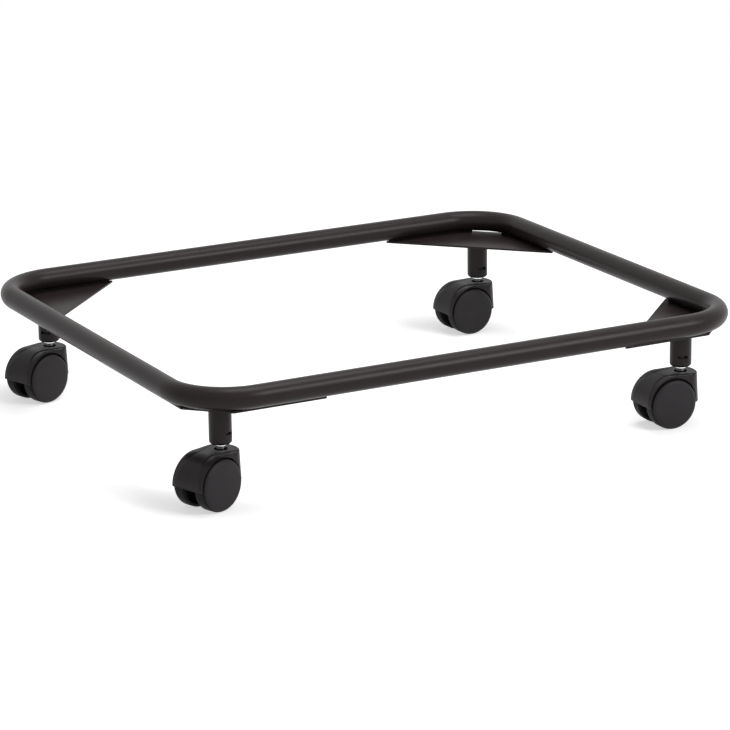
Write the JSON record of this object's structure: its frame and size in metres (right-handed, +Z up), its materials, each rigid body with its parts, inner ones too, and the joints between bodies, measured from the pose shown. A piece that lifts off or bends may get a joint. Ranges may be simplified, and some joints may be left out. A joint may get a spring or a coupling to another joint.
{
  "type": "plant pot caddy",
  "caption": "Low wheeled stand for a plant pot: a rectangular ring of bent round tube with triangular corner plates, posts and hooded twin-wheel castors.",
  "frame": {"origin": "on the floor under the middle of the ring", "axes": "+X along the long side of the ring, +Y across it to the back, +Z up; the front is -Y"},
  "size_m": [0.6, 0.5, 0.1205],
  "materials": {
    "coated_steel": "satin black powder coat on mild steel tube and sheet",
    "socket_plastic": "black moulded plastic, matt",
    "hood_plastic": "black moulded plastic with a fine spark texture",
    "wheel_plastic": "black moulded plastic, slightly smoother than the hood",
    "plated_steel": "bright nickel plate",
    "spring_steel": "bare spring wire and drawn axle steel"
  },
  "bodies": {
    "frame": {"tube_ring": "coated_steel", "corner_plate_front_left": "coated_steel", "post_front_left": "coated_steel", "socket_front_left": "socket_plastic", "stem_front_left": "plated_steel", "grip_ring_front_left": "spring_steel", "corner_plate_front_right": "coated_steel", "post_front_right": "coated_steel", "socket_front_right": "socket_plastic", "stem_front_right": "plated_steel", "grip_ring_front_right": "spring_steel", "corner_plate_back_left": "coated_steel", "post_back_left": "coated_steel", "socket_back_left": "socket_plastic", "stem_back_left": "plated_steel", "grip_ring_back_left": "spring_steel", "corner_plate_back_right": "coated_steel", "post_back_right": "coated_steel", "socket_back_right": "socket_plastic", "stem_back_right": "plated_steel", "grip_ring_back_right": "spring_steel"},
    "castor_front_left": {"hood_front_left": "hood_plastic", "axle_front_left": "spring_steel", "stem_clip_front_left": "spring_steel"},
    "wheel_a_front_left": {"wheel_a_front_left": "wheel_plastic"},
    "wheel_b_front_left": {"wheel_b_front_left": "wheel_plastic"},
    "castor_front_right": {"hood_front_right": "hood_plastic", "axle_front_right": "spring_steel", "stem_clip_front_right": "spring_steel"},
    "wheel_a_front_right": {"wheel_a_front_right": "wheel_plastic"},
    "wheel_b_front_right": {"wheel_b_front_right": "wheel_plastic"},
    "castor_back_left": {"hood_back_left": "hood_plastic", "axle_back_left": "spring_steel", "stem_clip_back_left": "spring_steel"},
    "wheel_a_back_left": {"wheel_a_back_left": "wheel_plastic"},
    "wheel_b_back_left": {"wheel_b_back_left": "wheel_plastic"},
    "castor_back_right": {"hood_back_right": "hood_plastic", "axle_back_right": "spring_steel", "stem_clip_back_right": "spring_steel"},
    "wheel_a_back_right": {"wheel_a_back_right": "wheel_plastic"},
    "wheel_b_back_right": {"wheel_b_back_right": "wheel_plastic"}
  },
  "joints": [
    {"name": "swivel_front_left", "type": "hinge", "parent": "frame", "child": "castor_front_left", "pos_m": [-0.248, -0.198, 0.055], "axis": [0, 0, 1], "continuous": true},
    {"name": "roll_a_front_left", "type": "hinge", "parent": "castor_front_left", "child": "wheel_a_front_left", "pos_m": [-0.26488, -0.20424, 0.025], "axis": [0.3469, -0.9379, 0], "continuous": true},
    {"name": "roll_b_front_left", "type": "hinge", "parent": "castor_front_left", "child": "wheel_b_front_left", "pos_m": [-0.26488, -0.20424, 0.025], "axis": [0.3469, -0.9379, 0], "continuous": true},
    {"name": "swivel_front_right", "type": "hinge", "parent": "frame", "child": "castor_front_right", "pos_m": [0.248, -0.198, 0.055], "axis": [0, 0, 1], "continuous": true},
    {"name": "roll_a_front_right", "type": "hinge", "parent": "castor_front_right", "child": "wheel_a_front_right", "pos_m": [0.23001, -0.1975, 0.025], "axis": [-0.0279, -0.9996, 0], "continuous": true},
    {"name": "roll_b_front_right", "type": "hinge", "parent": "castor_front_right", "child": "wheel_b_front_right", "pos_m": [0.23001, -0.1975, 0.025], "axis": [-0.0279, -0.9996, 0], "continuous": true},
    {"name": "swivel_back_left", "type": "hinge", "parent": "frame", "child": "castor_back_left", "pos_m": [-0.248, 0.198, 0.055], "axis": [0, 0, 1], "continuous": true},
    {"name": "roll_a_back_left", "type": "hinge", "parent": "castor_back_left", "child": "wheel_a_back_left", "pos_m": [-0.26502, 0.19214, 0.025], "axis": [0.3256, -0.9455, 0], "continuous": true},
    {"name": "roll_b_back_left", "type": "hinge", "parent": "castor_back_left", "child": "wheel_b_back_left", "pos_m": [-0.26502, 0.19214, 0.025], "axis": [0.3256, -0.9455, 0], "continuous": true},
    {"name": "swivel_back_right", "type": "hinge", "parent": "frame", "child": "castor_back_right", "pos_m": [0.248, 0.198, 0.055], "axis": [0, 0, 1], "continuous": true},
    {"name": "roll_a_back_right", "type": "hinge", "parent": "castor_back_right", "child": "wheel_a_back_right", "pos_m": [0.23002, 0.19706, 0.025], "axis": [0.0523, -0.9986, 0], "continuous": true},
    {"name": "roll_b_back_right", "type": "hinge", "parent": "castor_back_right", "child": "wheel_b_back_right", "pos_m": [0.23002, 0.19706, 0.025], "axis": [0.0523, -0.9986, 0], "continuous": true}
  ]
}
